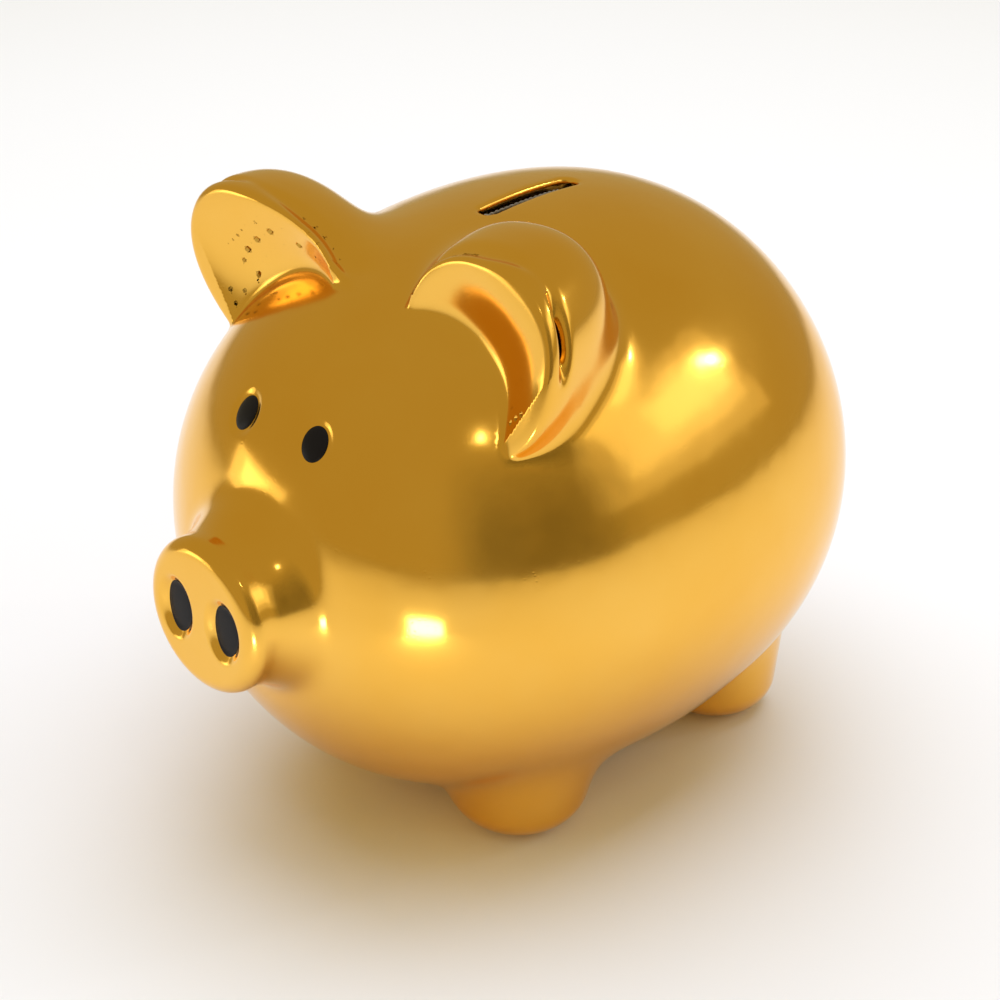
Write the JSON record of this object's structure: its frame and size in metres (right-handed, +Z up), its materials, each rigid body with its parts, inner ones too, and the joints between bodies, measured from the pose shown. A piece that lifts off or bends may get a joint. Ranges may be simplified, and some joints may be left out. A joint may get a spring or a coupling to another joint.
{
  "type": "animal coin bank",
  "caption": "Hollow pig-shaped coin bank in gilded ceramic, with a coin slot in its back and a rubber stopper with a pull tab in its belly.",
  "frame": {"origin": "on the surface that the bank stands on, under the middle of its overall length and width", "axes": "+Z up, -Y towards the snout, +X towards the pig's left side"},
  "size_m": [0.1504, 0.194, 0.1627],
  "materials": {
    "gilded_ceramic": "mirror gold plating over glazed earthenware",
    "black_enamel": "gloss black",
    "stopper_rubber": "matt black"
  },
  "bodies": {
    "bank": {"body_shell": "gilded_ceramic", "snout": "gilded_ceramic", "left_ear": "gilded_ceramic", "right_ear": "gilded_ceramic", "front_left_leg": "gilded_ceramic", "front_right_leg": "gilded_ceramic", "rear_left_leg": "gilded_ceramic", "rear_right_leg": "gilded_ceramic", "tail": "gilded_ceramic", "left_eye": "black_enamel", "right_eye": "black_enamel", "left_nostril": "black_enamel", "right_nostril": "black_enamel"},
    "stopper": {"stopper_plug": "stopper_rubber"},
    "pull_tab": {"stopper_tab": "stopper_rubber"}
  },
  "joints": [
    {"name": "stopper_pull", "type": "slide", "parent": "bank", "child": "stopper", "axis": [0, 0, -1], "range_m": [0, 0.03]},
    {"name": "tab_fold", "type": "hinge", "parent": "stopper", "child": "pull_tab", "pos_m": [0, 0.0111, 0.0093], "axis": [-1, 0, 0], "range_deg": [0, 90]}
  ]
}
